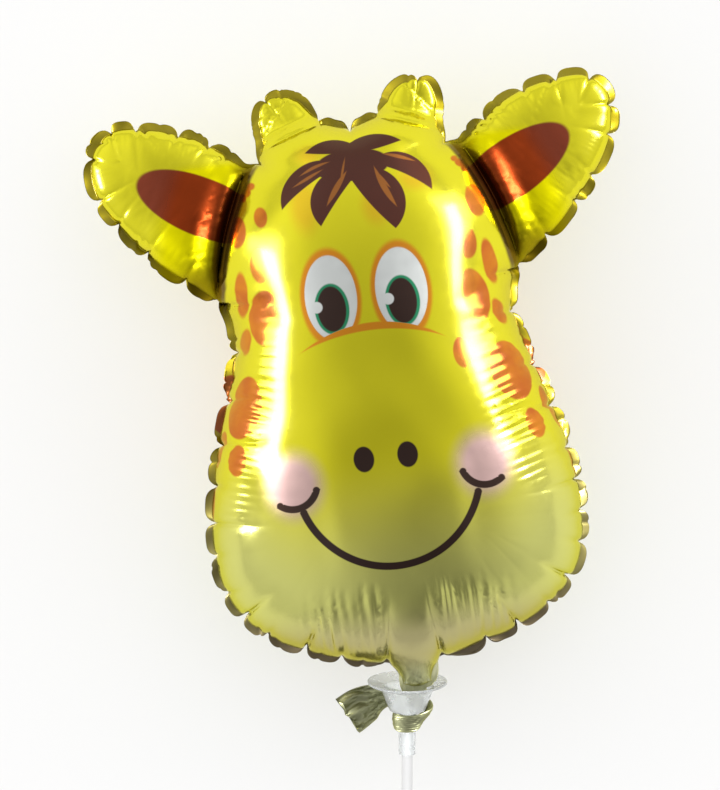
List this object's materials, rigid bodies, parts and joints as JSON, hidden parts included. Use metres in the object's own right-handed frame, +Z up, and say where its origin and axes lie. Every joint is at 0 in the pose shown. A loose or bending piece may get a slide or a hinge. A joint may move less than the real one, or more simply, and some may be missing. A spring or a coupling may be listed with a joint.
{
  "type": "giraffe head foil balloon",
  "caption": "Inflated foil balloon in the shape of a giraffe's head with ears and horns, its neck wound round a clear cup on a thin white stick, lying on its back.",
  "frame": {"origin": "middle of the flat patch on the back of the head that the balloon lies on", "axes": "+X to the viewer's right across the face, +Y from the chin to the horns, +Z up, out of the face"},
  "size_m": [0.2696, 0.6107, 0.1189],
  "materials": {
    "printed_foil": "thin metallised film with a glossy yellow giraffe face print, creased along the weld",
    "clear_cup": "clear moulded plastic, slightly milky",
    "white_stick": "white extruded plastic tube"
  },
  "bodies": {
    "root": {"foil_balloon": "printed_foil", "cup": "clear_cup", "stick": "white_stick"}
  },
  "joints": []
}
